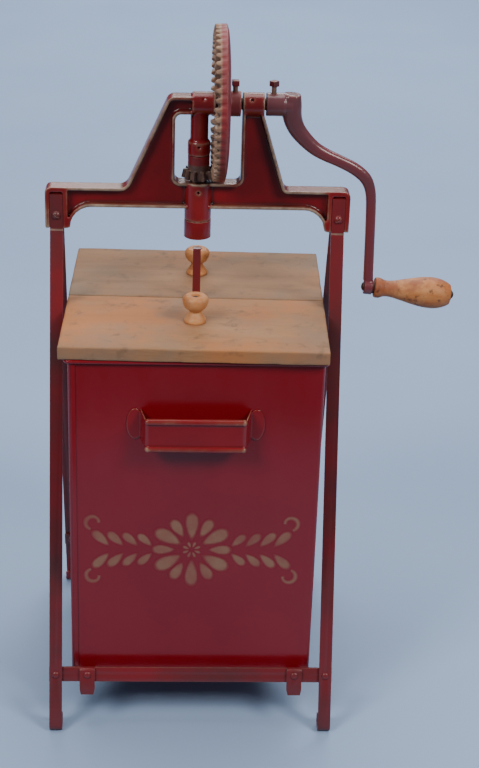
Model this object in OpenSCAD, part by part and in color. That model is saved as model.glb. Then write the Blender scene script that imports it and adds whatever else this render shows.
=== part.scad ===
// Rectangular tin churn in a strap-iron stand, turned by a crank through bevel gears.
// X runs along the crankshaft towards the crank, -Y is the front, Z is up from the floor.

/* [Stand] */
// Distance of each leg from the spindle axis along X
leg_x = 172; // [165:1:180]
// Width of the leg strap
leg_w = 15.9; // [14:0.1:16.2]
// Thickness of all strap iron
strap_t = 3.2; // [2.5:0.1:3.3]
// Height of the top end of the leg straps
leg_top_z = 661; // [655:1:662]
// Height at which the legs bend outwards
leg_bend_z = 616; // [610:1:617]
// Distance of the foot from the middle plane along Y
foot_y = 193; // [185:1:205]
// Height of the crossbar rivets
bar_z = 74.5; // [70:0.5:80]
// Height of the crossbar strap
bar_h = 19; // [16:1:22]
// Distance of each can rest from the spindle axis along X
rest_x = 132; // [120:1:140]

/* [Yoke] */
// Height of the arm's upper face
arm_top_z = 670; // [668:1:672]
// Height of the arm's lower face
arm_bottom_z = 646; // [645:1:650]
// Depth of the casting along Y
yoke_d = 23; // [21:1:25]
// Thickness of the recessed web
web_t = 6; // [4:0.5:8]
// Thickness of the raised rims
rim_t = 3.6; // [3:0.1:4]
// Width of the end block
block_w = 27.4; // [26:0.2:28]
// Height of the end block's lower face
block_bottom_z = 618; // [616:1:620]

/* [Drive] */
// Height of the crankshaft axis
shaft_z = 775; // [774:0.5:776]
// Radius of the crankshaft and of the spindle
shaft_r = 7; // [6.5:0.1:7.2]
// Radial clearance of the running bearings
bearing_gap = 0.05; // [0.02:0.01:0.08]
// Teeth on the bevel gear
gear_teeth = 52; // [50:1:54]
// Teeth on the bevel pinion
pinion_teeth = 10; // [10:1:10]
// Pitch radius of the bevel gear at its outer edge
gear_r = 92.6; // [92:0.1:93]
// Length of the teeth
tooth_face = 11; // [10:0.5:12]
// Side of the square that drives the dasher
square_w = 9.5; // [9:0.1:9.8]

/* [Crank] */
// Distance of the grip axis from the crankshaft axis
throw = 232; // [225:1:240]
// Angle by which the grip droops
grip_droop = 5; // [0:0.5:6]
// Length of the wooden grip
grip_len = 96; // [90:1:100]
// Radius of the grip bolt
grip_bolt_r = 3; // [2.5:0.1:3.5]

/* [Can] */
// Outer width and depth of the can
can_w = 305; // [300:1:306]
// Height of the can's lower edge
can_bottom_z = 67.5; // [67:0.5:68]
// Height of the can's upper edge
can_top_z = 507.7; // [500:0.5:508]
// Thickness of the sheet
sheet_t = 1.2; // [1:0.1:1.5]
// Radius of the wired rim
rim_wire_r = 2.4; // [2:0.1:2.4]
// Height of the middle of the handles' grip
handle_z = 419; // [400:1:440]
// Distance that the handle stands out from the can
handle_out = 26; // [22:1:30]

/* [Lid] */
// Width of the lid boards
lid_w = 320; // [318:1:321]
// Distance that the front board reaches from the joint between the boards
lid_front_d = 160; // [156:1:162]
// Distance that the rear board reaches from the joint between the boards
lid_rear_d = 167; // [156:1:168]
// Angle by which the loose lid sits turned about the stem
lid_turn = 1.4; // [0:0.1:1.5]
// Thickness of the lid boards
lid_t = 17; // [15:0.5:19]
// Gap between the two boards
lid_gap = 0.8; // [0.4:0.1:1.2]
// Radius of the hole for the dasher stem
stem_hole_r = 9; // [8.5:0.1:10]
// Height of the knobs
knob_h = 34; // [32:1:36]
// Distance of the front knob from the joint between the boards
knob_front_y = 75; // [70:1:90]
// Distance of the rear knob from the joint between the boards
knob_rear_y = 85; // [70:1:90]

/* [Dasher] */
// Height of the stem's upper end
stem_top_z = 591.5; // [590:0.5:592]
// Length of the paddle boards
paddle_len = 210; // [180:1:230]
// Height of the paddle boards
paddle_h = 58; // [50:1:64]
// Thickness of the paddle boards
paddle_t = 22; // [20:1:24]

/* [Hidden] */
$fn = 64;

// The spindle axis stands this far from the middle of the overall width
spindle_x = -69.25;

red = "firebrick";
dark_red = "darkred";
iron = "dimgray";
wood = "burlywood";
turned_wood = "peru";

slop = 1;
crease_steps = 6;

// Legs: the leaning stretch runs from the bend at the yoke to the foot
leg_y = yoke_d / 2 - 0.2 - strap_t / 2;
foot_z = strap_t / 2;
lean = atan((foot_y - leg_y) / (leg_bend_z - foot_z));
bar_y = leg_y + (leg_bend_z - bar_z) * tan(lean);
bar_len = 2 * leg_x + 17;
slot_top_z = leg_top_z + 3;
slot_d = strap_t + 0.2;
bolt_z = 635;
bolt_r = 3;
rivet_r = 2.4;
head_r = 4.6;
head_h = 2.4;
leg_bend_r = 10;
foot_bend_r = 7;
foot_run = 21;
foot_tip_z = 16;

// Can rests: hooked over the crossbar, then along under the can
hook_r = strap_t;
rest_w = 19;
rest_z = can_bottom_z - strap_t / 2;
tab_len = 25.8;
tab_taper = [1.6, 6.5];
notch_d = strap_t / 2 + hook_r + 0.1;

// Yoke
window_left = -29;
window_right = 51;
window_top_z = 763.5;
window_bottom_z = 678;
tower_foot_left = -87;
tower_foot_right = 106;
tower_top_left = -36.5;
tower_top_right = 75;
tower_top_z = 784.5;
elbow_r = 28;
window_r = 9;
block_edge = leg_x - block_w / 2;
block_round = 7;
bearing_a = [-9, 19];
bearing_b = [51, 77];
bearing_r = 13.9;
post_r = 10.8;
collar_r = 13.7;
collar_z = [711.7, 728];
spindle_top_z = 743;
hub_r = 16.4;
hub_bottom_z = 630;
neck_r = 11;
neck_gap = 0.3;
neck_top_z = 658;
oil_r = 1.7;

// Bevel gears: both cones meet where the shaft and spindle axes cross
tooth_module = 2 * gear_r / gear_teeth;
pinion_angle = atan(pinion_teeth / gear_teeth);
gear_angle = 90 - pinion_angle;
cone_out = gear_r / sin(gear_angle);
cone_in = cone_out - tooth_face;
pressure_angle = 20;
tooth_share = 0.42;
gear_addendum = 0.4 * tooth_module;
gear_dedendum = 1.25 * tooth_module;
pinion_addendum = 0.9 * tooth_module;
pinion_dedendum = 0.9 * tooth_module;
gear_back_x = 31;
gear_rim_r = 93.3;
gear_dish = [[92.4, 31], [86, 33], [70, 34.7], [45, 35.5], [14.2, 35.8]];
gear_dish_front = 30;
gear_hub = [24, 49];
gear_hub_r = 15.2;
pinion_hub_r = 13.2;
pinion_foot_r = 10;
pin_r = 1.6;
pin_z = 705;
set_screw_r = 3;
set_screw_head = 8.3;
set_screw_head_h = 6.5;
gear_screw_x = 42;
crank_screw_x = 88;
screw_head_z = 22;

// Crank arm: a swan neck given by its centre line, half width and half depth
crank_boss = [79, 101];
crank_boss_r = 13.9;
shaft_end = [-7, 107];
eye_r = 9.6;
eye_t = 10.4;
eye_x = 215.2;
neck_line = [
    [109.5, 13.4, 8, 8], [109.5, 11.6, 10.8, 11], [109.8, 0, 11.9, 12], [110.6, -13, 11.7, 11],
    [114.5, -25, 10.8, 10], [122.5, -37, 9.8, 9], [138, -52, 8.5, 8], [153, -61, 7.8, 7.4],
    [170, -68.5, 7.4, 7], [189, -78, 7.5, 6.6], [203.5, -90, 7.4, 6.4], [210.5, -106, 6.6, 6],
    [212.6, -130, 6.3, 5.8], [214, -180, 6.2, 5.4], [215.2, -throw, 6.3, 5.2]
];
arm_steps = 3;
arm_sides = 16;

// Grip: distance along its axis from the eye's middle, and radius
grip_start = 8;
grip_profile = [
    [0, 11.4], [1.2, 12.6], [5, 12.9], [8, 12.2], [12, 10.6], [17, 10.1], [24, 10.9],
    [36, 13.6], [48, 16.4], [60, 18.7], [71, 19.6], [80, 19], [87, 17.2], [92.5, 14.8], [96, 12.6]
];

// Sleeve
sleeve_r = 16.5;
sleeve_z = [607.5, hub_bottom_z - 0.3];
square_gap = 0.1;
spindle_end_z = 610;

// Can and handles
can_in = can_w / 2 - sheet_t;
can_corner_r = 4;
bottom_plate_z = 73;
rim_drop = 0.3;
roll_r = 3.9;
grip_h = 36;
foot_h = 41;
handle_half = 59;
handle_foot = 66;
flange_half = [10, 20.5];
flange_x = 73;
flange_z = handle_z + 5;
handle_t = 1.4;

// Lid
cleat_d = 12;
cleat_w = 24;
cleat_x = 100;
cleat_y = [10, 136];
knob_profile = [
    [0, 13], [1.5, 13.5], [4, 12.8], [8, 10], [11, 8.2], [13, 7.4], [15, 8.4], [18, 12],
    [22, 14.6], [27, 15.8], [31, 15], [34, 11.5]
];
dimple_r = 5.2;
dimple_d = 3;
knob_screw_r = 2;

// Dasher
pivot_r = 5;
pivot_gap = 0.08;
pivot_shoulder_z = 94;
pivot_end_z = 77.5;
cup_z = [bottom_plate_z, 88];
cup_r = 14;
paddle_z = [112, 196];
paddle_hole_r = 9;
paddle_pin_r = 1.8;

function unit(v) = v / norm(v);
function left_of(u) = [-u[1], u[0]];
function spin2(v, a) = [v[0] * cos(a) - v[1] * sin(a), v[0] * sin(a) + v[1] * cos(a)];
function turn_of(u, v) = atan2(u[0] * v[1] - u[1] * v[0], u * v);
function reversed(list) = [for (i = [len(list) - 1:-1:0]) list[i]];

// The points of one corner of a bent strap, at distance d to the left of its centre line
function crease(before, corner, after, r, d) =
    let (
        u = unit(corner - before),
        v = unit(after - corner),
        a = turn_of(u, v),
        side = sign(a),
        centre = corner - r * tan(abs(a) / 2) * u + side * r * left_of(u)
    )
    [for (k = [0:crease_steps])
        centre - spin2(side * left_of(u), a * k / crease_steps) * (r - side * d)];

// One long edge of a bent strap: p is its centre line, r the bend radius at each corner
function strap_edge(p, r, d) =
    let (last = len(p) - 1)
    [
        p[0] + d * left_of(unit(p[1] - p[0])),
        for (i = [1:last - 1]) each crease(p[i - 1], p[i], p[i + 1], r[i - 1], d),
        p[last] + d * left_of(unit(p[last] - p[last - 1]))
    ];
function strap_outline(p, r, t) =
    concat(strap_edge(p, r, t / 2), reversed(strap_edge(p, r, -t / 2)));

// A smooth curve through rows of numbers, with steps points between each two rows
function blend_row(a, b, c, d, t) =
    0.5 * (2 * b + (c - a) * t + (2 * a - 5 * b + 4 * c - d) * t * t
        + (3 * b - 3 * c + d - a) * t * t * t);
function smooth_rows(rows, steps) =
    let (last = len(rows) - 1)
    [
        for (i = [0:last - 1])
            for (k = [0:steps - 1])
                blend_row(rows[max(i - 1, 0)], rows[i], rows[i + 1], rows[min(i + 2, last)], k / steps),
        rows[last]
    ];

// Moves the design frame, whose Z axis is the spindle, to the part's own frame
module placed() {
    translate([spindle_x, 0, 0]) children();
}
// Extrudes a Y-Z outline along X, centred
module along_x(w) {
    rotate([90, 0, 90]) linear_extrude(w, center = true) children();
}
// Extrudes an X-Z outline along Y, centred
module along_y(w) {
    rotate([90, 0, 0]) linear_extrude(w, center = true) children();
}
// A cylinder along X between two X values
module x_rod(r, ends, z = shaft_z) {
    translate([ends[0], 0, z]) rotate([0, 90, 0]) cylinder(r = r, h = ends[1] - ends[0]);
}
// A cylinder along Z between two heights
module z_rod(r, ends) {
    translate([0, 0, ends[0]]) cylinder(r = r, h = ends[1] - ends[0]);
}
// A square bar along Z between two heights
module z_bar(w, ends) {
    translate([-w / 2, -w / 2, ends[0]]) cube([w, w, ends[1] - ends[0]]);
}
// Local frame on the leaning front leg at height z: -Y faces out, Z runs up the leg
module on_leg(x, z) {
    translate([x, -leg_y - (leg_bend_z - z) * tan(lean), z]) rotate([-lean, 0, 0]) children();
}
module front_and_rear() {
    children();
    mirror([0, 1, 0]) children();
}
module left_and_right() {
    children();
    mirror([1, 0, 0]) children();
}
// The corner left over outside a quarter circle, pointing to +x +y
module spandrel(r) {
    difference() {
        square(r + slop);
        circle(r = r);
    }
}

// Stand

module leg() {
    path = [
        [-leg_y, leg_top_z], [-leg_y, leg_bend_z], [-foot_y, foot_z],
        [-foot_y + foot_run, foot_z], [-foot_y + foot_run + 1, foot_tip_z]
    ];
    difference() {
        along_x(leg_w) polygon(strap_outline(path, [leg_bend_r, foot_bend_r, foot_bend_r], strap_t));
        translate([0, 0, bolt_z]) rotate([90, 0, 0]) cylinder(r = bolt_r, h = 3 * leg_y, center = true);
        on_leg(0, bar_z) rotate([90, 0, 0]) cylinder(r = rivet_r, h = 3 * strap_t, center = true);
    }
}
module leg_front_left() {
    color(red) placed() translate([-leg_x, 0, 0]) leg();
}
module leg_front_right() {
    color(red) placed() translate([leg_x, 0, 0]) leg();
}
module leg_rear_left() {
    color(red) placed() translate([-leg_x, 0, 0]) mirror([0, 1, 0]) leg();
}
module leg_rear_right() {
    color(red) placed() translate([leg_x, 0, 0]) mirror([0, 1, 0]) leg();
}

module crossbar() {
    difference() {
        on_leg(0, bar_z) translate([0, strap_t, 0]) cube([bar_len, strap_t, bar_h], center = true);
        for (x = [-leg_x, -rest_x, rest_x, leg_x])
            on_leg(x, bar_z) rotate([90, 0, 0]) cylinder(r = rivet_r, h = 6 * strap_t, center = true);
        for (x = [-rest_x, rest_x])
            on_leg(x, bar_z) translate([-rest_w / 2 - 0.3, 0, bar_h / 2 - notch_d])
                cube([rest_w + 0.6, 3 * strap_t, 2 * notch_d]);
    }
}
module crossbar_front() {
    color(red) placed() crossbar();
}
module crossbar_rear() {
    color(red) placed() mirror([0, 1, 0]) crossbar();
}

// Y-Z position of a point given in the leaning frame of the crossbar
function on_bar(p) =
    [-bar_y + p[0] * cos(lean) + p[1] * sin(lean), bar_z - p[0] * sin(lean) + p[1] * cos(lean)];
rest_back = 2 * hook_r + 0.1;
rest_hook_z = (bar_h - strap_t) / 2;
rest_drop = (rest_z - bar_z + rest_back * sin(lean)) / cos(lean);
rest_half = [
    on_bar([0, -tab_len]), on_bar([0, rest_hook_z]),
    on_bar([rest_back, rest_hook_z]), on_bar([rest_back, rest_drop])
];
module rest_strap() {
    path = concat(rest_half, reversed([for (p = rest_half) [-p[0], p[1]]]));
    radii = [hook_r, hook_r, 5, 5, hook_r, hook_r];
    difference() {
        along_x(rest_w) polygon(strap_outline(path, radii, strap_t));
        front_and_rear() on_leg(0, bar_z) {
            rotate([90, 0, 0]) cylinder(r = rivet_r, h = 8 * strap_t, center = true);
            left_and_right() translate([rest_w / 2 - tab_taper[0], -2 * strap_t, -tab_len])
                rotate([0, atan(tab_taper[0] / tab_taper[1]), 0])
                    translate([0, 0, -2]) cube([6, 4 * strap_t, tab_taper[1] + 6]);
        }
    }
}
module rest_strap_left() {
    color(red) placed() translate([-rest_x, 0, 0]) rest_strap();
}
module rest_strap_right() {
    color(red) placed() translate([rest_x, 0, 0]) rest_strap();
}

// A shallow domed head on the plane z = 0
module dome(r, h) {
    ball = (r * r + h * h) / (2 * h);
    intersection() {
        translate([0, 0, h - ball]) sphere(r = ball);
        cylinder(r = r, h = h + slop);
    }
}
// A rivet along -Y through a stack of the given front and back distances
module rivet(front, back, back_head = true) {
    rotate([90, 0, 0]) {
        translate([0, 0, -back]) cylinder(r = rivet_r, h = back + front);
        translate([0, 0, front]) dome(head_r, head_h);
        if (back_head) translate([0, 0, -back]) mirror([0, 0, 1]) dome(head_r, head_h);
    }
}
module leg_rivets() {
    color(dark_red) placed()
        front_and_rear() for (x = [-leg_x, leg_x]) on_leg(x, bar_z) rivet(strap_t / 2, 1.5 * strap_t);
}
module strap_rivets() {
    color(dark_red) placed()
        front_and_rear() for (x = [-rest_x, rest_x])
            on_leg(x, bar_z) rivet(strap_t / 2, rest_back + strap_t / 2, back_head = false);
}
module leg_bolts() {
    face = leg_y + strap_t / 2;
    color(dark_red) placed()
        for (x = [-leg_x, leg_x]) translate([x, 0, bolt_z]) rotate([90, 0, 0]) {
            translate([0, 0, -face - 7]) cylinder(r = bolt_r, h = 2 * face + 7);
            difference() {
                translate([0, 0, face]) dome(5.6, 3.6);
                rotate([0, 0, sign(x) * 40]) translate([0, 0, face + 3.4])
                    cube([14, 1.3, 2.8], center = true);
            }
        }
}
module leg_nuts() {
    face = leg_y + strap_t / 2;
    nut_w = 11;
    nut_t = 5;
    color(dark_red) placed()
        for (x = [-leg_x, leg_x]) translate([x, face + nut_t / 2, bolt_z]) rotate([90, 0, 0])
            difference() {
                rotate([0, 0, 12]) cube([nut_w, nut_w, nut_t], center = true);
                cylinder(r = bolt_r, h = 2 * nut_t, center = true);
            }
}

// Yoke

module yoke_web() {
    inner_left = window_left - slop;
    inner_right = window_right + slop;
    foot_line = arm_bottom_z + slop;
    translate([-block_edge - slop, foot_line])
        square([2 * block_edge + 2 * slop, arm_top_z - arm_bottom_z - 2 * slop]);
    translate([tower_foot_left + 6, foot_line])
        square([tower_foot_right - tower_foot_left - 12, window_bottom_z - foot_line - slop]);
    polygon([
        [tower_foot_left, foot_line], [tower_foot_left + 1, arm_top_z - slop],
        [tower_top_left + 2, tower_top_z - 2], [-8, tower_top_z - 2], [-8, window_top_z + slop],
        [inner_left, window_top_z + slop], [inner_left, foot_line]
    ]);
    polygon([
        [inner_right, foot_line], [inner_right, shaft_z - 5], [tower_top_right - 2, shaft_z - 5],
        [tower_foot_right - 1, arm_top_z - slop], [tower_foot_right, foot_line]
    ]);
    left_and_right() translate([block_edge + 1 - elbow_r, arm_bottom_z + 1 - elbow_r]) spandrel(elbow_r);
}
module yoke_rims() {
    half = rim_t / 2;
    top_line = arm_top_z - half;
    polygon(strap_outline(
        [
            [-block_edge - slop, top_line], [tower_foot_left, top_line],
            [tower_top_left + 1, tower_top_z - half], [-8, tower_top_z - half]
        ],
        [14, 9], rim_t));
    polygon(strap_outline(
        [
            [block_edge + slop, top_line], [tower_foot_right - half, top_line],
            [tower_top_right - half, shaft_z - 6]
        ],
        [8], rim_t));
    polygon(strap_outline(
        [
            [-block_edge + 1, block_bottom_z + slop], [-block_edge + 1, arm_bottom_z + half],
            [block_edge - 1, arm_bottom_z + half], [block_edge - 1, block_bottom_z + slop]
        ],
        [elbow_r, elbow_r], rim_t));
    polygon(strap_outline(
        [
            [-8, window_top_z + half], [window_left - half, window_top_z + half],
            [window_left - half, window_bottom_z - half],
            [window_right + half, window_bottom_z - half], [window_right + half, shaft_z - 6]
        ],
        [window_r, window_r, window_r], rim_t));
}
module yoke_block() {
    difference() {
        translate([block_edge, block_bottom_z]) square([block_w, arm_top_z - block_bottom_z]);
        translate([block_edge + block_w - block_round, arm_top_z - block_round]) spandrel(block_round);
    }
}
// A radial oil hole that opens tilt degrees above the front
module oil_hole(x, z, tilt, from, to) {
    translate([x, 0, z]) rotate([90 - tilt, 0, 0]) translate([0, 0, from])
        cylinder(r = oil_r, h = to - from, $fn = 24);
}
module yoke_solid() {
    along_y(web_t) yoke_web();
    along_y(yoke_d) yoke_rims();
    left_and_right() along_y(yoke_d) yoke_block();
    x_rod(bearing_r, bearing_a);
    x_rod(bearing_r, bearing_b);
    z_rod(post_r, [collar_z[1] - slop, shaft_z]);
    translate([0, 0, collar_z[1]]) cylinder(r1 = collar_r, r2 = post_r, h = 3);
    z_rod(collar_r, collar_z);
    z_rod(hub_r, [hub_bottom_z, window_bottom_z]);
}
module yoke() {
    bore_r = shaft_r + bearing_gap;
    color(red) placed() difference() {
        yoke_solid();
        front_and_rear() left_and_right()
            translate([leg_x - leg_w / 2 - 0.3, -yoke_d / 2 - slop, block_bottom_z - slop])
                cube([leg_w + 0.6, slot_d + slop, slot_top_z - block_bottom_z + slop]);
        for (x = [-leg_x, leg_x]) translate([x, 0, bolt_z]) rotate([90, 0, 0])
            cylinder(r = bolt_r, h = 2 * yoke_d, center = true);
        x_rod(bore_r, [shaft_end[0] - 0.5, bearing_a[1] + slop]);
        x_rod(bore_r, [bearing_b[0] - slop, bearing_b[1] + slop]);
        z_rod(bore_r, [hub_bottom_z - slop, spindle_top_z + 0.5]);
        z_rod(neck_r + neck_gap, [hub_bottom_z - slop, neck_top_z + 1]);
        oil_hole(4.6, shaft_z, 33, shaft_r, bearing_r + slop);
        oil_hole(62, shaft_z, 36, shaft_r, bearing_r + slop);
        oil_hole(0, 723.5, 0, shaft_r, collar_r + slop);
        oil_hole(0, 667.5, 0, shaft_r, hub_r + slop);
    }
}

// Bevel gearing

function involute(a) = tan(a) - a * PI / 180;
// Half the angle that a tooth fills at k pitch radii, for a gear of the given cone angle
function tooth_half_angle(k, teeth, cone_angle) =
    let (flat_teeth = teeth / cos(cone_angle), a = acos(min(1, cos(pressure_angle) / k)))
    (180 * tooth_share / flat_teeth + (involute(pressure_angle) - involute(a)) * 180 / PI)
        * flat_teeth / teeth;
// Stations round the gear: angle, and tooth height above the pitch cone
function tooth_stations(teeth, cone_angle, top, root, lead) =
    let (
        flat_r = tooth_module * teeth / cos(cone_angle) / 2,
        tip = tooth_half_angle(1 + top / flat_r, teeth, cone_angle),
        mid = tooth_half_angle(1, teeth, cone_angle),
        low = tooth_half_angle(1 - root / flat_r, teeth, cone_angle)
    )
    [for (i = [0:teeth - 1]) for (s = [[-low, -root], [-mid, 0], [-tip, top], [tip, top], [mid, 0], [low, -root]])
        [(i + lead) * 360 / teeth + s[0], s[1]]];
// Toothed ring about +Z with the cones' common apex at the origin; back closes its section
module bevel_ring(stations, cone_angle, back) {
    n = len(stations);
    function cone_point(s, distance) =
        let (a = cone_angle + atan(s[1] / cone_out))
        [distance * sin(a) * cos(s[0]), distance * sin(a) * sin(s[0]), distance * cos(a)];
    function back_point(s, b) = [b[0] * cos(s[0]), b[0] * sin(s[0]), b[1]];
    points = [
        each [for (s = stations) cone_point(s, cone_out)],
        each [for (s = stations) cone_point(s, cone_in)],
        each [for (s = stations) back_point(s, back[1])],
        each [for (s = stations) back_point(s, back[0])]
    ];
    faces = [
        for (row = [0:3]) for (i = [0:n - 1])
            let (j = (i + 1) % n, a = row * n, b = (row + 1) % 4 * n)
            each [[a + i, b + j, b + i], [a + i, a + j, b + j]]
    ];
    polyhedron(points, faces);
}
module crank_shaft() {
    color(iron) placed() x_rod(shaft_r, shaft_end);
}
module bevel_gear() {
    ring_in = cone_in * sin(gear_angle - atan(gear_dedendum / cone_out));
    hub_len = gear_hub[1] - gear_hub[0];
    color(red) placed() translate([0, 0, shaft_z]) rotate([0, 90, 0]) difference() {
        union() {
            bevel_ring(
                tooth_stations(gear_teeth, gear_angle, gear_addendum, gear_dedendum, 0.5),
                gear_angle, [[gear_rim_r, gear_back_x], [ring_in, gear_back_x]]);
            translate([0, 0, gear_hub[0]]) cylinder(r = gear_hub_r, h = hub_len);
            rotate_extrude() polygon([
                for (p = gear_dish) p,
                [gear_hub_r - 1, gear_dish_front], [50, gear_dish_front - 1], [ring_in + 3, gear_back_x - 3]
            ]);
        }
        translate([0, 0, gear_hub[0] - slop]) cylinder(r = shaft_r, h = hub_len + 2 * slop);
        translate([0, 0, gear_screw_x]) rotate([0, -90, 0]) cylinder(r = set_screw_r, h = 2 * shaft_r + 20);
    }
}
module bevel_pinion() {
    color(iron) placed() translate([0, 0, shaft_z]) rotate([180, 0, 0]) difference() {
        union() {
            bevel_ring(
                tooth_stations(pinion_teeth, pinion_angle, pinion_addendum, pinion_dedendum, 0),
                pinion_angle, [[pinion_foot_r - 1, cone_out - 0.6], [pinion_foot_r - 1, cone_in - 1]]);
            translate([0, 0, shaft_z - collar_z[0] + 0.4])
                cylinder(r = pinion_hub_r, h = collar_z[0] - 0.4 - shaft_z + cone_in - 1);
            translate([0, 0, cone_in - 3])
                cylinder(r = pinion_foot_r, h = shaft_z - window_bottom_z - 0.4 - cone_in + 3);
        }
        cylinder(r = shaft_r, h = 2 * cone_out);
        translate([0, 0, shaft_z - pin_z]) rotate([0, 90, 0]) cylinder(r = pin_r, h = 40, center = true);
    }
}
// A square-headed set screw from the shaft outwards, standing at X
module set_screw(x, turn) {
    translate([x, 0, shaft_z]) rotate([0, 0, turn]) {
        z_rod(set_screw_r, [shaft_r, screw_head_z]);
        translate([0, 0, screw_head_z + set_screw_head_h / 2])
            cube([set_screw_head, set_screw_head, set_screw_head_h], center = true);
        translate([0, 0, screw_head_z + set_screw_head_h - 0.4]) dome(set_screw_head / 2 - 0.4, 1.2);
    }
}
module gear_set_screw() {
    color(dark_red) placed() set_screw(gear_screw_x, 4);
}
module crank_set_screw() {
    color(dark_red) placed() set_screw(crank_screw_x, 42);
}

// Crank

// Frame at the eye of the crank with Z along the grip
module on_grip() {
    translate([eye_x, 0, shaft_z - throw]) rotate([0, 90 + grip_droop, 0]) children();
}
// Tube along rows of X, Z, half width and half depth, with flattened sides
module swept_neck(rows) {
    n = len(rows);
    function squared(a) = sign(a) * pow(abs(a), 0.8);
    function tangent(i) =
        let (a = rows[max(i - 1, 0)], b = rows[min(i + 1, n - 1)])
        unit([b[0] - a[0], b[1] - a[1]]);
    points = [
        for (i = [0:n - 1]) for (k = [0:arm_sides - 1])
            let (
                side = left_of(tangent(i)),
                across = rows[i][2] * squared(cos(360 * k / arm_sides)),
                deep = rows[i][3] * squared(sin(360 * k / arm_sides))
            )
            [rows[i][0] + across * side[0], deep, rows[i][1] + across * side[1]]
    ];
    walls = [
        for (i = [0:n - 2]) for (k = [0:arm_sides - 1])
            let (a = i * arm_sides, b = a + arm_sides, j = (k + 1) % arm_sides)
            each [[a + k, a + j, b + j], [a + k, b + j, b + k]]
    ];
    start_cap = [for (k = [arm_sides - 1:-1:0]) k];
    end_cap = [for (k = [0:arm_sides - 1]) (n - 1) * arm_sides + k];
    polyhedron(points, concat(walls, [start_cap, end_cap]));
}
module crank_arm() {
    color(red) placed() difference() {
        union() {
            x_rod(crank_boss_r, crank_boss);
            x_rod(crank_boss_r - 1.2, [crank_boss[1] - slop, 110]);
            translate([0, 0, shaft_z]) swept_neck(smooth_rows(neck_line, arm_steps));
            on_grip() cylinder(r = eye_r, h = eye_t, center = true);
        }
        x_rod(shaft_r, [crank_boss[0] - slop, shaft_end[1]]);
        on_grip() cylinder(r = grip_bolt_r, h = 3 * eye_t, center = true);
        on_grip() for (side = [-1, 1])
            translate([0, 0, side * (eye_t / 2 + 2)]) cylinder(r = 8.4, h = 4, center = true);
        translate([crank_screw_x, 0, shaft_z]) cylinder(r = set_screw_r, h = 30);
    }
}
module grip_bolt() {
    head_z = -eye_t / 2;
    tail = grip_start + grip_len + 2;
    color(dark_red) placed() on_grip() rotate_extrude() polygon([
        for (a = [90:-15:0]) [5.4 * cos(a), head_z - 3.2 * sin(a)],
        [grip_bolt_r, head_z], [grip_bolt_r, tail],
        for (a = [0:15:90]) [5 * cos(a), tail + 3.4 * sin(a)]
    ]);
}
module grip_washers() {
    color(iron) placed() on_grip() difference() {
        union() {
            translate([0, 0, eye_t / 2]) cylinder(r = 8, h = 2.4);
            translate([0, 0, grip_start + grip_len + 0.4]) cylinder(r = 7, h = 1.6);
        }
        cylinder(r = grip_bolt_r, h = 3 * grip_len);
    }
}
module crank_grip() {
    bore_r = grip_bolt_r + bearing_gap;
    stretch = grip_len / grip_profile[len(grip_profile) - 1][0];
    color(turned_wood) placed() on_grip() translate([0, 0, grip_start]) rotate_extrude()
        polygon([
            [bore_r, 0], for (p = grip_profile) [p[1], p[0] * stretch], [bore_r, grip_len]
        ]);
}

// Spindle and sleeve

module spindle() {
    color(iron) placed() difference() {
        union() {
            z_rod(shaft_r, [neck_top_z + 1.5, spindle_top_z]);
            z_bar(square_w, [spindle_end_z, neck_top_z + 2]);
        }
        translate([0, 0, pin_z]) rotate([0, 90, 0]) cylinder(r = pin_r, h = 40, center = true);
    }
}
module pinion_pin() {
    color(iron) placed() x_rod(pin_r, [-pinion_hub_r + 0.3, pinion_hub_r - 0.3], pin_z);
}
module drive_sleeve() {
    color(red) placed() difference() {
        union() {
            z_rod(sleeve_r, sleeve_z);
            z_rod(neck_r, [sleeve_z[1] - slop, neck_top_z]);
        }
        z_bar(square_w + 2 * square_gap, [sleeve_z[0] - slop, neck_top_z + slop]);
    }
}

// Can

module rounded_square(w, r) {
    difference() {
        square(w, center = true);
        for (a = [0:90:270]) rotate(a) translate([w / 2 - r, w / 2 - r]) spandrel(r);
    }
}
module can_body() {
    color(red) placed() translate([0, 0, can_bottom_z]) linear_extrude(can_top_z - can_bottom_z)
        difference() {
            rounded_square(can_w, can_corner_r);
            rounded_square(2 * can_in, can_corner_r - sheet_t);
        }
}
module can_bottom() {
    color(red) placed() difference() {
        translate([0, 0, can_bottom_z]) linear_extrude(bottom_plate_z - can_bottom_z)
            rounded_square(2 * can_in, can_corner_r - sheet_t);
        translate([0, 0, can_bottom_z - slop])
            linear_extrude(bottom_plate_z - sheet_t - can_bottom_z + slop)
                rounded_square(2 * (can_in - sheet_t), 1.6);
    }
}
module can_rim() {
    line = can_w / 2 + rim_wire_r;
    corner = 5;
    color(red) placed() translate([0, 0, can_top_z - rim_wire_r - rim_drop])
        for (a = [0:90:270]) rotate([0, 0, a]) {
            translate([line, 0, 0]) rotate([90, 0, 0])
                cylinder(r = rim_wire_r, h = 2 * (line - corner), center = true);
            translate([line - corner, line - corner, 0]) rotate_extrude(angle = 90)
                translate([corner, 0]) circle(r = rim_wire_r);
        }
}
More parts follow.
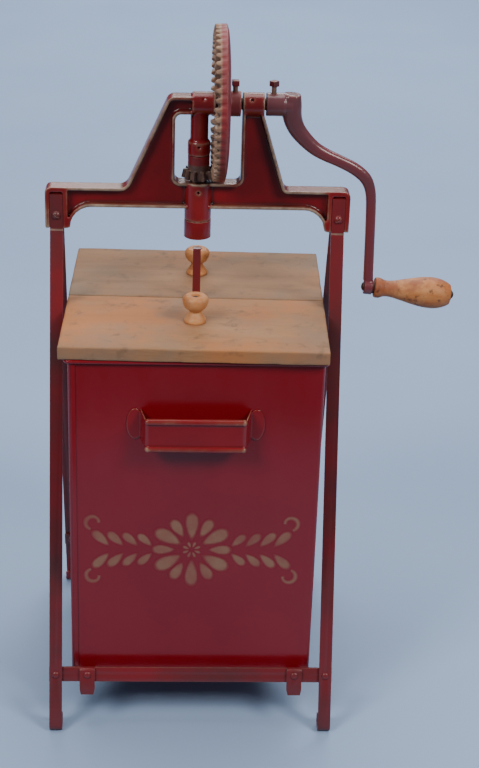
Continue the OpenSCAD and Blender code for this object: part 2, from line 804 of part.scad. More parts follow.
// Lock seams at two opposite corners, where the two bent sheets join
module can_seams() {
    seam_w = 5;
    seam_t = 1.4;
    low = can_bottom_z + 2;
    high = can_top_z - 2 * rim_wire_r - 2 * rim_drop;
    color(red) placed() for (a = [0, 180]) rotate([0, 0, a]) {
        translate([-can_w / 2 + can_corner_r, -can_w / 2 - seam_t, low]) cube([seam_w, seam_t, high - low]);
    }
}
module handle() {
    face = -can_w / 2;
    panel_y = face - handle_out + roll_r;
    sweep = [
        [-handle_foot, face - handle_t / 2], [-handle_half, panel_y],
        [handle_half, panel_y], [handle_foot, face - handle_t / 2]
    ];
    side_view = [
        [face, flange_z - foot_h / 2], [face, flange_z + foot_h / 2],
        [panel_y - handle_t, handle_z + grip_h / 2], [panel_y - handle_t, handle_z - grip_h / 2]
    ];
    intersection() {
        translate([0, 0, flange_z - foot_h]) linear_extrude(2 * foot_h)
            polygon(strap_outline(sweep, [5, 5], handle_t));
        along_x(2 * can_w) polygon(side_view);
    }
    left_and_right() translate([-flange_x, face, flange_z]) rotate([90, 0, 0]) linear_extrude(handle_t)
        polygon([for (a = [0:10:350]) [flange_half[0] * cos(a), flange_half[1] * sin(a)]]);
    for (side = [-1, 1]) translate([0, panel_y, handle_z + side * grip_h / 2]) {
        rotate([0, 90, 0]) cylinder(r = roll_r, h = 2 * handle_half - 4, center = true);
        for (end = [-1, 1]) translate([end * (handle_half - 2), 0, 0]) sphere(r = roll_r);
    }
}
module handle_front() {
    color(red) placed() handle();
}
module handle_rear() {
    color(red) placed() mirror([0, 1, 0]) handle();
}
module pivot_cup() {
    color(iron) placed() difference() {
        union() {
            z_rod(cup_r, cup_z);
            z_rod(cup_r + 9, [cup_z[0], cup_z[0] + 3]);
        }
        z_rod(pivot_r + pivot_gap, [pivot_end_z - 0.5, cup_z[1] + slop]);
    }
}

// Lid: both halves are drawn as the front one

// The loose lid sits turned a little about the stem, a hair above the can
module lid_set() {
    placed() translate([0, 0, 0.03]) rotate([0, 0, -lid_turn]) children();
}
module lid_board(knob_y, depth) {
    color(wood) difference() {
        translate([-lid_w / 2, -depth, can_top_z]) cube([lid_w, depth - lid_gap / 2, lid_t]);
        z_rod(stem_hole_r, [can_top_z - slop, can_top_z + lid_t + slop]);
        translate([0, -knob_y, can_top_z - slop]) cylinder(r = knob_screw_r, h = lid_t + 2 * slop);
    }
}
module lid_cleats() {
    color(wood) for (x = [-cleat_x, cleat_x])
        translate([x - cleat_w / 2, -cleat_y[1], can_top_z - cleat_d])
            cube([cleat_w, cleat_y[1] - cleat_y[0], cleat_d]);
}
module lid_knob(knob_y) {
    stretch = knob_h / knob_profile[len(knob_profile) - 1][0];
    floor_z = knob_h - dimple_d;
    color(turned_wood) translate([0, -knob_y, can_top_z + lid_t]) rotate_extrude()
        polygon([
            [knob_screw_r, 0], for (p = knob_profile) [p[1], p[0] * stretch],
            [dimple_r, knob_h], [dimple_r - 0.8, floor_z], [knob_screw_r, floor_z]
        ]);
}
module knob_screw(knob_y) {
    head = can_top_z + lid_t + knob_h - dimple_d;
    color(iron) translate([0, -knob_y, 0]) difference() {
        union() {
            z_rod(knob_screw_r, [can_top_z + 1, head]);
            translate([0, 0, head]) dome(4, 1.8);
        }
        translate([0, 0, head + 1.5]) cube([9, 0.9, 1.4], center = true);
    }
}
module lid_board_front() {
    lid_set() lid_board(knob_front_y, lid_front_d);
}
module lid_cleats_front() {
    lid_set() lid_cleats();
}
module lid_knob_front() {
    lid_set() lid_knob(knob_front_y);
}
module knob_screw_front() {
    lid_set() knob_screw(knob_front_y);
}
module lid_board_rear() {
    lid_set() mirror([0, 1, 0]) lid_board(knob_rear_y, lid_rear_d);
}
module lid_cleats_rear() {
    lid_set() mirror([0, 1, 0]) lid_cleats();
}
module lid_knob_rear() {
    lid_set() mirror([0, 1, 0]) lid_knob(knob_rear_y);
}
module knob_screw_rear() {
    lid_set() mirror([0, 1, 0]) knob_screw(knob_rear_y);
}

// Dasher

module paddle_pin_hole(z) {
    translate([0, 0, z + paddle_h / 2]) rotate([90, 0, 0])
        cylinder(r = paddle_pin_r, h = 2 * paddle_t, center = true);
}
module dasher_stem() {
    color(red) placed() difference() {
        union() {
            z_bar(square_w, [pivot_shoulder_z, stem_top_z]);
            z_rod(pivot_r, [pivot_end_z, pivot_shoulder_z]);
        }
        paddle_pin_hole(paddle_z[0]);
        rotate([0, 0, 90]) paddle_pin_hole(paddle_z[1]);
    }
}
// A paddle board across X with its foot at height z
module paddle(z) {
    difference() {
        translate([-paddle_len / 2, -paddle_t / 2, z]) cube([paddle_len, paddle_t, paddle_h]);
        z_bar(square_w, [z - slop, z + paddle_h + slop]);
        paddle_pin_hole(z);
        for (x = [-80, -50, 50, 80]) translate([x, 0, z + paddle_h / 2]) rotate([90, 0, 0])
            cylinder(r = paddle_hole_r, h = 2 * paddle_t, center = true);
    }
}
module paddle_lower() {
    color(wood) placed() paddle(paddle_z[0]);
}
module paddle_upper() {
    color(wood) placed() rotate([0, 0, 90]) paddle(paddle_z[1]);
}
module paddle_pins() {
    color(iron) placed() {
        translate([0, 0, paddle_z[0] + paddle_h / 2]) rotate([90, 0, 0])
            cylinder(r = paddle_pin_r, h = paddle_t, center = true);
        translate([0, 0, paddle_z[1] + paddle_h / 2]) rotate([0, 90, 0])
            cylinder(r = paddle_pin_r, h = paddle_t, center = true);
    }
}

yoke();
leg_front_left();
leg_front_right();
leg_rear_left();
leg_rear_right();
crossbar_front();
crossbar_rear();
rest_strap_left();
rest_strap_right();
leg_bolts();
leg_nuts();
leg_rivets();
strap_rivets();
crank_shaft();
bevel_gear();
gear_set_screw();
crank_arm();
crank_set_screw();
grip_bolt();
grip_washers();
crank_grip();
spindle();
bevel_pinion();
pinion_pin();
drive_sleeve();
can_body();
can_bottom();
can_rim();
can_seams();
handle_front();
handle_rear();
pivot_cup();
lid_board_front();
lid_cleats_front();
lid_knob_front();
knob_screw_front();
lid_board_rear();
lid_cleats_rear();
lid_knob_rear();
knob_screw_rear();
dasher_stem();
paddle_lower();
paddle_upper();
paddle_pins();
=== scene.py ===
import math

import bmesh
import bpy
import numpy as np
from mathutils import Matrix, Vector
from mathutils.bvhtree import BVHTree


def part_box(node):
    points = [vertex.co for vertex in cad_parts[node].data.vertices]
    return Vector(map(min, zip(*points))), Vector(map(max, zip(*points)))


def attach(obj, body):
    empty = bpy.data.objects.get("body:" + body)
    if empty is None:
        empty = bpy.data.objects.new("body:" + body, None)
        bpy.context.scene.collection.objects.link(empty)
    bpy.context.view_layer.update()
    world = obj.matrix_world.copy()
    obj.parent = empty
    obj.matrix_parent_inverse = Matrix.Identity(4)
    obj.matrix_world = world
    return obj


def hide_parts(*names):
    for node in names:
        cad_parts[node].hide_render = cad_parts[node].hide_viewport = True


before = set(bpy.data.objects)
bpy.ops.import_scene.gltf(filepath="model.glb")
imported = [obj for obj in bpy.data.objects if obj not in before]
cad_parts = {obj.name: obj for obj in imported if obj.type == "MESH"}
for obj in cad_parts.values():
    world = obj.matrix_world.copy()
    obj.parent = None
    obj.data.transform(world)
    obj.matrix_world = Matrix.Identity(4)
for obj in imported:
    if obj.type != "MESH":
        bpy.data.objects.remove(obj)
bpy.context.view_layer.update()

# ---------------------------------------------------------------- the studio
# A pale blue-grey table top that ends a metre in front, with softboxes at the
# front corners, overhead and behind. The camera looks down from head height.
axle_x = (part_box("spindle")[0].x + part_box("spindle")[1].x) / 2
scene = bpy.context.scene

camera = bpy.data.objects.new("camera", bpy.data.cameras.new("camera"))
scene.collection.objects.link(camera)
camera.data.lens = 78.1
camera.data.clip_start = 0.05
camera.data.clip_end = 50
pitch, yaw, roll = math.radians(25.29), math.radians(2.77), math.radians(1.88)
ahead = Vector((math.sin(yaw) * math.cos(pitch), math.cos(yaw) * math.cos(pitch), -math.sin(pitch)))
across = Vector((math.cos(yaw), -math.sin(yaw), 0))
above = across.cross(ahead)
turned_across = across * math.cos(roll) + above * math.sin(roll)
turned_above = above * math.cos(roll) - across * math.sin(roll)
eye = (axle_x - 0.0355, -1.9358, 1.3213)
facing = Matrix((turned_across, turned_above, -ahead)).transposed().to_4x4()
camera.matrix_world = Matrix.Translation(eye) @ facing
scene.camera = camera


def node(tree, kind, feeds=None, **settings):
    """A shader node with its settings made and its sockets fed by values or by other sockets."""
    made = tree.nodes.new(kind)
    for key, value in settings.items():
        setattr(made, key, value)
    for socket, value in (feeds or {}).items():
        target = made.inputs[socket]
        if isinstance(value, bpy.types.NodeSocket):
            tree.links.new(value, target)
        else:
            target.default_value = value
    return made


def finish_of(name):
    """A new material, its node tree, and its Principled shader."""
    material = bpy.data.materials.new(name)
    material.use_nodes = True
    tree = material.node_tree
    return material, tree, next(n for n in tree.nodes if n.type == "BSDF_PRINCIPLED")


def ramp(tree, fac, stops):
    """A colour ramp of (position, colour) stops."""
    made = node(tree, "ShaderNodeValToRGB", {"Fac": fac})
    while len(made.color_ramp.elements) < len(stops):
        made.color_ramp.elements.new(0.5)
    for element, (position, colour) in zip(made.color_ramp.elements, stops):
        element.position = position
        element.color = (*colour, 1)
    return made.outputs["Color"]


def new_object(name, mesh, *materials):
    made = bpy.data.objects.new(name, mesh)
    scene.collection.objects.link(made)
    for material in materials:
        made.data.materials.append(material)
    return made


floor_mesh = bpy.data.meshes.new("floor")
floor_mesh.from_pydata([(-7, -0.95, 0), (7, -0.95, 0), (7, 9, 0), (-7, 9, 0)], [], [(0, 1, 2, 3)])
paper, tree, shader = finish_of("backdrop_paper")
place = node(tree, "ShaderNodeTexCoord").outputs["Object"]
mottle = node(tree, "ShaderNodeTexNoise", {"Vector": place, "Scale": 3.0, "Detail": 4.0})
paper_tone = ramp(tree, mottle.outputs["Fac"], [(0.3, (0.272, 0.378, 0.570)), (0.7, (0.295, 0.402, 0.595))])
tree.links.new(paper_tone, shader.inputs["Base Color"])
shader.inputs["Roughness"].default_value = 0.75
floor = new_object("floor", floor_mesh, paper)

world = bpy.data.worlds.new("room")
world.use_nodes = True
sky = world.node_tree.nodes["Background"]
sky.inputs["Color"].default_value = (0.62, 0.76, 0.95, 1)
seen = node(world.node_tree, "ShaderNodeLightPath").outputs["Is Camera Ray"]
sky_power = node(world.node_tree, "ShaderNodeMapRange", {"Value": seen, "To Min": 0.20, "To Max": 0.60})
world.node_tree.links.new(sky_power.outputs[0], sky.inputs["Strength"])
scene.world = world


def softbox(name, place, aim, size, power, tint):
    lamp = bpy.data.lights.new(name, "AREA")
    lamp.shape = "RECTANGLE"
    lamp.size, lamp.size_y = size
    lamp.energy = power
    lamp.color = tint
    made = bpy.data.objects.new(name, lamp)
    scene.collection.objects.link(made)
    made.location = place
    made.rotation_mode = "QUATERNION"
    made.rotation_quaternion = (Vector(aim) - Vector(place)).to_track_quat("-Z", "Y")


softbox("overhead_light", (-0.1, 0.5, 2.9), (0, 0.15, 0.3), (2.0, 1.6), 44, (1.0, 0.98, 0.95))
softbox("left_light", (-2.0, -2.0, 2.7), (0, 0, 0.4), (1.1, 1.1), 72, (1.0, 0.97, 0.93))
softbox("right_light", (2.1, -1.9, 2.8), (0, 0, 0.4), (1.1, 1.1), 78, (1.0, 0.97, 0.93))
softbox("back_light", (0.3, 4.0, 3.0), (0, 3.6, 0), (4.4, 2.2), 170, (0.95, 0.98, 1.0))

# ------------------------------------------------------------------ the yoke
# One sand casting in grey iron, dipped in red enamel that has worn through to
# rust and old primer along its raised rims. Both bearings and the post are in it.


def relax(places, links, rounds):
    """Each point moves to the mean of its neighbours, the given number of times."""
    count = np.zeros(len(places))
    np.add.at(count, links[:, 0], 1)
    np.add.at(count, links[:, 1], 1)
    count = np.maximum(count, 1)[:, None]
    for _ in range(rounds):
        total = np.zeros_like(places)
        np.add.at(total, links[:, 0], places[links[:, 1]])
        np.add.at(total, links[:, 1], places[links[:, 0]])
        places = total / count
    return places


def each_point(mesh, kind):
    """The place ("co") or the "normal" of every point, one row each."""
    values = np.zeros(len(mesh.vertices) * 3)
    mesh.vertices.foreach_get(kind, values)
    return values.reshape(-1, 3)


def mark(mesh, name, values):
    """Stores a value from 0 to 1 for each point, under a name that a material reads."""
    layer = mesh.attributes.new(name, "FLOAT", "POINT")
    layer.data.foreach_set("value", np.clip(values, 0, 1).astype(np.float32))


def mark_edges(mesh, reach, rounds=5):
    """Marks how far each point stands out of (edge) or back from (nook) the surface round it."""
    places = each_point(mesh, "co")
    links = np.zeros(len(mesh.edges) * 2, dtype=np.int64)
    mesh.edges.foreach_get("vertices", links)
    links = links.reshape(-1, 2)
    stand = ((places - relax(places, links, rounds)) * each_point(mesh, "normal")).sum(1) / reach
    stand = relax(stand[:, None], links, 1)[:, 0]
    mark(mesh, "edge", stand)
    mark(mesh, "nook", -stand)


def merged_copy(cad_node):
    """A copy of a CAD node's mesh with its loose triangles joined up."""
    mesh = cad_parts[cad_node].data.copy()
    mesh.materials.clear()
    shape = bmesh.new()
    shape.from_mesh(mesh)
    bmesh.ops.remove_doubles(shape, verts=shape.verts, dist=2e-6)
    bmesh.ops.recalc_face_normals(shape, faces=shape.faces)
    shape.to_mesh(mesh)
    shape.free()
    return mesh


def plain_mesh(made):
    """Turns an object's modifiers into its mesh."""
    graph = bpy.context.evaluated_depsgraph_get()
    mesh = bpy.data.meshes.new_from_object(made.evaluated_get(graph))
    made.modifiers.clear()
    made.data = mesh
    return mesh


def cast_piece(name, cad_node, grain, ease, material, body, swell=0.0):
    """A CAD node with its corners eased over a few grains and, by swell, its skin made uneven."""
    made = new_object(name, merged_copy(cad_node))
    skin = made.modifiers.new("skin", "REMESH")
    skin.mode = "VOXEL"
    skin.voxel_size = grain
    skin.use_smooth_shade = True
    soften = made.modifiers.new("soften", "SMOOTH")
    soften.factor = 0.5
    soften.iterations = ease
    mesh = plain_mesh(made)
    mark_edges(mesh, grain * 0.9)
    mark(mesh, "upward", (each_point(mesh, "normal")[:, 2] - 0.8) / 0.15)
    if swell:
        skin_noise(mesh, swell)
    mesh.materials.clear()
    mesh.materials.append(material)
    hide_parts(cad_node)
    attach(made, body)
    return made


def skin_noise(mesh, depth, scale=90.0):
    """Moves each point along its normal by a smooth uneven amount."""
    places = each_point(mesh, "co")
    swell = np.zeros(len(places))
    rng = np.random.default_rng(7)
    waves = 9
    for _ in range(waves):
        wave = rng.normal(size=3) * scale
        swell += np.sin(places @ wave + rng.uniform(0, 6.28)) / waves
    places = places + each_point(mesh, "normal") * (swell * depth)[:, None]
    mesh.vertices.foreach_set("co", places.ravel())
    mesh.update()


# Wear: bare metal where the surface stands out, broken up by noise; painted shade with some grime where it
# stands back
wear_group = bpy.data.node_groups.new("worn_edges_and_nook_shade", "ShaderNodeTree")
for label, kind, value in (("Amount", "NodeSocketFloat", 1.0), ("Scale", "NodeSocketFloat", 60.0)):
    wear_group.interface.new_socket(label, in_out="INPUT", socket_type=kind).default_value = value
for label in ("Bare", "Rubbed", "Shade_And_Grime"):
    wear_group.interface.new_socket(label, in_out="OUTPUT", socket_type="NodeSocketFloat")
inlet = wear_group.nodes.new("NodeGroupInput")
outlet = wear_group.nodes.new("NodeGroupOutput")
place = node(wear_group, "ShaderNodeTexCoord").outputs["Object"]
edge = node(wear_group, "ShaderNodeAttribute", attribute_name="edge").outputs["Fac"]
nook = node(wear_group, "ShaderNodeAttribute", attribute_name="nook").outputs["Fac"]
chips = node(wear_group, "ShaderNodeTexNoise",
             {"Vector": place, "Scale": inlet.outputs["Scale"], "Detail": 6.0, "Roughness": 0.65})
broken = node(wear_group, "ShaderNodeMath",
              {0: chips.outputs["Fac"], 1: 0.55, 2: -0.02}, operation="MULTIPLY_ADD")
patches = node(wear_group, "ShaderNodeTexNoise", {"Vector": place, "Scale": 14.0, "Detail": 5.0})
uneven = node(wear_group, "ShaderNodeMapRange", {
    "Value": patches.outputs["Fac"], "From Min": 0.36, "From Max": 0.64, "To Min": 0.35, "To Max": 1.35})
struck = node(wear_group, "ShaderNodeMath", {0: edge, 1: uneven.outputs[0]}, operation="MULTIPLY")
scaled = node(wear_group, "ShaderNodeMath",
              {0: struck.outputs[0], 1: inlet.outputs["Amount"]}, operation="MULTIPLY")
bare = node(wear_group, "ShaderNodeMapRange",
            {"Value": scaled.outputs[0], "From Min": broken.outputs[0], "From Max": 0.62},
            interpolation_type="SMOOTHSTEP")
rubbed = node(wear_group, "ShaderNodeMapRange",
              {"Value": scaled.outputs[0], "From Min": 0.03, "From Max": 0.5},
              interpolation_type="SMOOTHSTEP")
# Painted shade with some grime: darker where the surface stands back, made uneven by the patches noise
nook_shade = node(wear_group, "ShaderNodeMath",
            {0: nook, 1: 1.4, 2: -0.1}, operation="MULTIPLY_ADD")
nook_shade_and_grime_mix = node(wear_group, "ShaderNodeMath",
                {0: nook_shade.outputs[0], 1: patches.outputs["Fac"]}, operation="ADD")
shade_and_grime = node(wear_group, "ShaderNodeMapRange",
             {"Value": nook_shade_and_grime_mix.outputs[0], "From Min": 0.5, "From Max": 1.1})
for label, source in (("Bare", bare), ("Rubbed", rubbed), ("Shade_And_Grime", shade_and_grime)):
    wear_group.links.new(source.outputs[0], outlet.inputs[label])


def blend_colour(tree, fac, first, second):
    """The first colour where fac is 0, the second where it is 1; each a value or a socket."""
    mix = node(tree, "ShaderNodeMix", data_type="RGBA")
    for socket, value in ((mix.inputs[0], fac), (mix.inputs[6], first), (mix.inputs[7], second)):
        if isinstance(value, bpy.types.NodeSocket):
            tree.links.new(value, socket)
        else:
            socket.default_value = value if isinstance(value, float) else (*value, 1)
    return mix.outputs[2]


def red_enamel(name, base, deep, bare_colour, amount, scale, gloss,
               grain_scale=180.0, grain=0.10, dusty=0.0):
    """Old red enamel over iron: painted shade with some grime in the hollows, rubbed brown and then bare on
    what stands out.
    """
    material, tree, shader = finish_of(name)
    place = node(tree, "ShaderNodeTexCoord").outputs["Object"]
    wear = node(tree, "ShaderNodeGroup", node_tree=wear_group)
    wear.inputs["Amount"].default_value = amount
    wear.inputs["Scale"].default_value = scale
    fade = node(tree, "ShaderNodeTexNoise",
                {"Vector": place, "Scale": 9.0, "Detail": 6.0, "Roughness": 0.6})
    coat = ramp(tree, fade.outputs["Fac"], [(0.32, deep), (0.66, base)])
    upward = node(tree, "ShaderNodeAttribute", attribute_name="upward").outputs["Fac"]
    settled = node(tree, "ShaderNodeMath", {0: upward, 1: fade.outputs["Fac"]}, operation="MULTIPLY")
    film = node(tree, "ShaderNodeMapRange",
                {"Value": settled.outputs[0], "From Min": 0.30, "From Max": 0.62, "To Max": dusty})
    coat = blend_colour(tree, film.outputs[0], coat, (0.17, 0.095, 0.062))
    # Painted shade with some grime: the coat goes near black where the surface stands back
    brown = blend_colour(tree, wear.outputs["Shade_And_Grime"], coat, (0.030, 0.009, 0.007))
    rubbed = blend_colour(tree, wear.outputs["Rubbed"], brown, (0.21, 0.060, 0.038))
    rust = node(tree, "ShaderNodeTexNoise",
                {"Vector": place, "Scale": 75.0, "Detail": 8.0, "Roughness": 0.7})
    metal = ramp(tree, rust.outputs["Fac"],
                 [(0.35, tuple(c * 0.45 for c in bare_colour)), (0.62, bare_colour)])
    tree.links.new(blend_colour(tree, wear.outputs["Bare"], rubbed, metal), shader.inputs["Base Color"])
    dull = node(tree, "ShaderNodeMapRange", {"Value": wear.outputs["Bare"], "To Min": gloss, "To Max": 0.62})
    tree.links.new(dull.outputs[0], shader.inputs["Roughness"])
    sand = node(tree, "ShaderNodeTexNoise", {"Vector": place, "Scale": grain_scale, "Detail": 4.0})
    bump = node(tree, "ShaderNodeBump",
                {"Height": sand.outputs["Fac"], "Strength": grain, "Distance": 0.001})
    tree.links.new(bump.outputs["Normal"], shader.inputs["Normal"])
    return material


cast_red = red_enamel("cast_iron_red_enamel", (0.235, 0.007, 0.010), (0.130, 0.005, 0.007),
                      (0.34, 0.235, 0.170), 1.45, 70.0, 0.25, dusty=0.9)
cast_piece("yoke_casting", "yoke", 0.00125, 3, cast_red, "stand", 0.00012)

# ------------------------------------------------------------ the strap iron
# Legs, crossbars and can rests are rolled mild steel strap, sheared to length
# and bent cold. Brush-painted with the yoke; the corners have rubbed through.


def strap_piece(name, cad_node, width, material, body):
    """A CAD node with its sharp edges rounded over, the rounded band in the worn finish."""
    mesh = merged_copy(cad_node)
    shape = bmesh.new()
    shape.from_mesh(mesh)
    bmesh.ops.dissolve_limit(shape, angle_limit=math.radians(0.4), verts=shape.verts, edges=shape.edges)
    shape.to_mesh(mesh)
    shape.free()
    made = new_object(name, mesh, material)
    round_over = made.modifiers.new("round_over", "BEVEL")
    round_over.width = width
    round_over.segments = 3
    round_over.limit_method = "ANGLE"
    round_over.angle_limit = math.radians(35)
    round_over.use_clamp_overlap = True
    round_over.material = -1
    mesh = plain_mesh(made)
    lit_edges(mesh, width)
    mesh.materials.clear()
    mesh.materials.append(material)
    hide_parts(cad_node)
    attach(made, body)
    return made


def lit_edges(mesh, width):
    """Marks the narrow faces of a rounded edge, and shades the mesh smooth across shallow angles."""
    layer = mesh.attributes.new("edge", "FLOAT", "FACE")
    narrow = []
    for face in mesh.polygons:
        spans = sorted((mesh.vertices[a].co - mesh.vertices[b].co).length for a, b in face.edge_keys)
        narrow.append(0.75 if spans[0] < width * 0.75 and len(face.vertices) <= 4 else 0.0)
    layer.data.foreach_set("value", np.array(narrow, dtype=np.float32))
    mesh.polygons.foreach_set("use_smooth", [True] * len(mesh.polygons))
    mesh.set_sharp_from_angle(angle=math.radians(32))


strap_red = red_enamel("strap_iron_red_enamel", (0.200, 0.012, 0.016), (0.072, 0.020, 0.021),
                       (0.27, 0.15, 0.11), 1.25, 85.0, 0.32, 120.0, 0.12)
for side in ("front_left", "front_right", "rear_left", "rear_right"):
    strap_piece("leg_strap_" + side, "leg_" + side, 0.0007, strap_red, "stand")
for side in ("front", "rear"):
    strap_piece("crossbar_strap_" + side, "crossbar_" + side, 0.0006, strap_red, "stand")
for side in ("left", "right"):
    strap_piece("can_rest_" + side, "rest_strap_" + side, 0.0006, strap_red, "stand")
for cad_node in ("leg_bolts", "leg_nuts"):
    strap_piece(cad_node.replace("leg_", "clamp_"), cad_node, 0.0004, strap_red, "stand")

# ------------------------------------------------------------------- rivets
# Round-headed iron rivets, closed by hand and painted with the straps. Those
# of the legs have a head at both ends; those of the can rests are flush inside.


def scatter_tree():
    """Places a shape on every point, turned and sized by the point's own values."""
    tree = bpy.data.node_groups.new("set_on_points", "GeometryNodeTree")
    tree.interface.new_socket("Geometry", in_out="INPUT", socket_type="NodeSocketGeometry")
    tree.interface.new_socket("Shape", in_out="INPUT", socket_type="NodeSocketObject")
    tree.interface.new_socket("Size", in_out="INPUT", socket_type="NodeSocketFloat").default_value = 1.0
    tree.interface.new_socket("Finish", in_out="INPUT", socket_type="NodeSocketMaterial")
    tree.interface.new_socket("Geometry", in_out="OUTPUT", socket_type="NodeSocketGeometry")
    inlet = tree.nodes.new("NodeGroupInput")
    outlet = tree.nodes.new("NodeGroupOutput")
    shape = node(tree, "GeometryNodeObjectInfo", {"Object": inlet.outputs["Shape"]})
    turn = node(tree, "GeometryNodeInputNamedAttribute", {"Name": "turn"}, data_type="FLOAT_VECTOR")
    stretch = node(tree, "GeometryNodeInputNamedAttribute", {"Name": "stretch"}, data_type="FLOAT_VECTOR")
    sized = node(tree, "ShaderNodeVectorMath",
                 {0: stretch.outputs[0], "Scale": inlet.outputs["Size"]}, operation="SCALE")
    placed = node(tree, "GeometryNodeInstanceOnPoints", {
        "Points": inlet.outputs["Geometry"], "Instance": shape.outputs["Geometry"],
        "Rotation": turn.outputs[0], "Scale": sized.outputs["Vector"]})
    real = node(tree, "GeometryNodeRealizeInstances", {"Geometry": placed.outputs["Instances"]})
    coat = node(tree, "GeometryNodeSetMaterial",
                {"Geometry": real.outputs[0], "Material": inlet.outputs["Finish"]})
    tree.links.new(coat.outputs[0], outlet.inputs[0])
    return tree


set_on_points = scatter_tree()


def scatter(name, shape, places, size, material):
    """One mesh with shape at every (place, turn, stretch) of places; the shape itself is used up."""
    points = bpy.data.meshes.new(name)
    points.from_pydata([p for p, _, _ in places], [], [])
    for label, index in (("turn", 1), ("stretch", 2)):
        layer = points.attributes.new(label, "FLOAT_VECTOR", "POINT")
        layer.data.foreach_set("vector", np.array([p[index] for p in places], dtype=np.float32).ravel())
    made = new_object(name, points)
    setting = made.modifiers.new("set", "NODES")
    setting.node_group = set_on_points
    sockets = {s.name: s.identifier for s in set_on_points.interface.items_tree if s.in_out == "INPUT"}
    setting[sockets["Shape"]] = shape
    setting[sockets["Size"]] = size
    setting[sockets["Finish"]] = material
    mesh = plain_mesh(made)
    bpy.data.objects.remove(shape)
    for label in ("turn", "stretch"):
        if label in mesh.attributes:
            mesh.attributes.remove(mesh.attributes[label])
    return made


def lathe(name, profile, steps):
    """A shape turned about Z from (radius, height) points; points on the axis close it."""
    shape = bmesh.new()
    rings = []
    for radius, height in profile:
        if radius < 1e-7:
            rings.append([shape.verts.new((0, 0, height))])
        else:
            rings.append([shape.verts.new((radius * math.cos(a), radius * math.sin(a), height))
                          for a in (2 * math.pi * k / steps for k in range(steps))])
    for low, high in zip(rings, rings[1:]):
        for k in range(steps):
            j = (k + 1) % steps
            corners = [low[k % len(low)], low[j % len(low)], high[j % len(high)], high[k % len(high)]]
            corners = list(dict.fromkeys(corners))
            if len(corners) > 2:
                shape.faces.new(corners)
    bmesh.ops.recalc_face_normals(shape, faces=shape.faces)
    mesh = bpy.data.meshes.new(name)
    shape.to_mesh(mesh)
    shape.free()
    mesh.polygons.foreach_set("use_smooth", [True] * len(mesh.polygons))
    return mesh


head_r, head_h, head_rim = 0.0046, 0.0024, 0.0003
head_line = [(0, -0.0008), (0.0024, -0.0008), (head_r, -0.0002), (0.00465, head_rim)]
head_line += [(head_r * math.cos(a), head_rim + (head_h - head_rim) * math.sin(a))
              for a in (math.pi / 2 * k / 6 for k in range(1, 6))] + [(0, head_h)]
leg_run, leg_rise = 183.3, 614.4
lean = math.atan(leg_run / leg_rise)


def rivet_places(cad_node):
    """Where the heads of four rivets sit and how they face."""
    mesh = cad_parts[cad_node].data
    points = np.array([v.co for v in mesh.vertices])
    places = []
    for x_side in (-1, 1):
        for y_side in (-1, 1):
            mine = points[((points[:, 0] - axle_x) * x_side > 0) & (points[:, 1] * y_side > 0)]
            low, high = mine.min(0), mine.max(0)
            outward = Vector((0, y_side * math.cos(lean), math.sin(lean)))
            along = mine @ np.array(outward)
            middle_x = (low[0] + high[0]) / 2
            outer = Vector(mine[along.argmax()])
            inner = Vector(mine[along.argmin()])
            outer.x = inner.x = middle_x
            places.append((outer - outward * head_h, outward))
            if cad_node == "leg_rivets":
                places.append((inner + outward * head_h, -outward))
    return [(tuple(p), tuple(n.to_track_quat("Z", "Y").to_euler()), (1, 1, 1)) for p, n in places]


for cad_node in ("leg_rivets", "strap_rivets"):
    rivet_head = new_object("rivet_head", lathe("rivet_head", head_line, 20))
    name = cad_node.replace("rivets", "rivet_heads")
    heads = scatter(name, rivet_head, rivet_places(cad_node), 1.0, strap_red)
    mark_edges(heads.data, 0.004, 2)
    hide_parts(cad_node)
    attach(heads, "stand")

# --------------------------------------------------------------- bevel gears
# Cast teeth, left rough. The big gear is painted on its back and hub only; its
# teeth have dried grease and rust on them, and painted shade in the gaps. The pinion is dark with old oil.


def old_iron(name, dark, light, gloss):
    """Unpainted iron under a film of oil, dust and rust."""
    material, tree, shader = finish_of(name)
    place = node(tree, "ShaderNodeTexCoord").outputs["Object"]
    rust = node(tree, "ShaderNodeTexNoise",
                {"Vector": place, "Scale": 55.0, "Detail": 9.0, "Roughness": 0.7})
    tone = ramp(tree, rust.outputs["Fac"], [(0.32, dark), (0.68, light)])
    tree.links.new(tone, shader.inputs["Base Color"])
    sheen = node(tree, "ShaderNodeMapRange",
                 {"Value": rust.outputs["Fac"], "To Min": gloss, "To Max": 0.75})
    tree.links.new(sheen.outputs[0], shader.inputs["Roughness"])
    pits = node(tree, "ShaderNodeTexNoise", {"Vector": place, "Scale": 420.0, "Detail": 3.0})
    bump = node(tree, "ShaderNodeBump",
                {"Height": pits.outputs["Fac"], "Strength": 0.25, "Distance": 0.0006})
    tree.links.new(bump.outputs["Normal"], shader.inputs["Normal"])
    shader.inputs["Metallic"].default_value = 0.35
    return material


oily_iron = old_iron("oily_dark_iron", (0.020, 0.012, 0.010), (0.120, 0.060, 0.045), 0.35)

gear_red, tree, shader = finish_of("gear_red_and_rust")
place = node(tree, "ShaderNodeTexCoord").outputs["Object"]
wear = node(tree, "ShaderNodeGroup", node_tree=wear_group)
fade = node(tree, "ShaderNodeTexNoise", {"Vector": place, "Scale": 12.0, "Detail": 6.0})
coat = ramp(tree, fade.outputs["Fac"], [(0.3, (0.120, 0.012, 0.014)), (0.7, (0.240, 0.018, 0.022))])
coat = blend_colour(tree, wear.outputs["Rubbed"], coat, (0.20, 0.045, 0.040))
rust = node(tree, "ShaderNodeTexNoise", {"Vector": place, "Scale": 60.0, "Detail": 9.0, "Roughness": 0.7})
tan = ramp(tree, rust.outputs["Fac"],
           [(0.28, (0.08, 0.038, 0.024)), (0.5, (0.24, 0.130, 0.080)), (0.72, (0.40, 0.255, 0.165))])
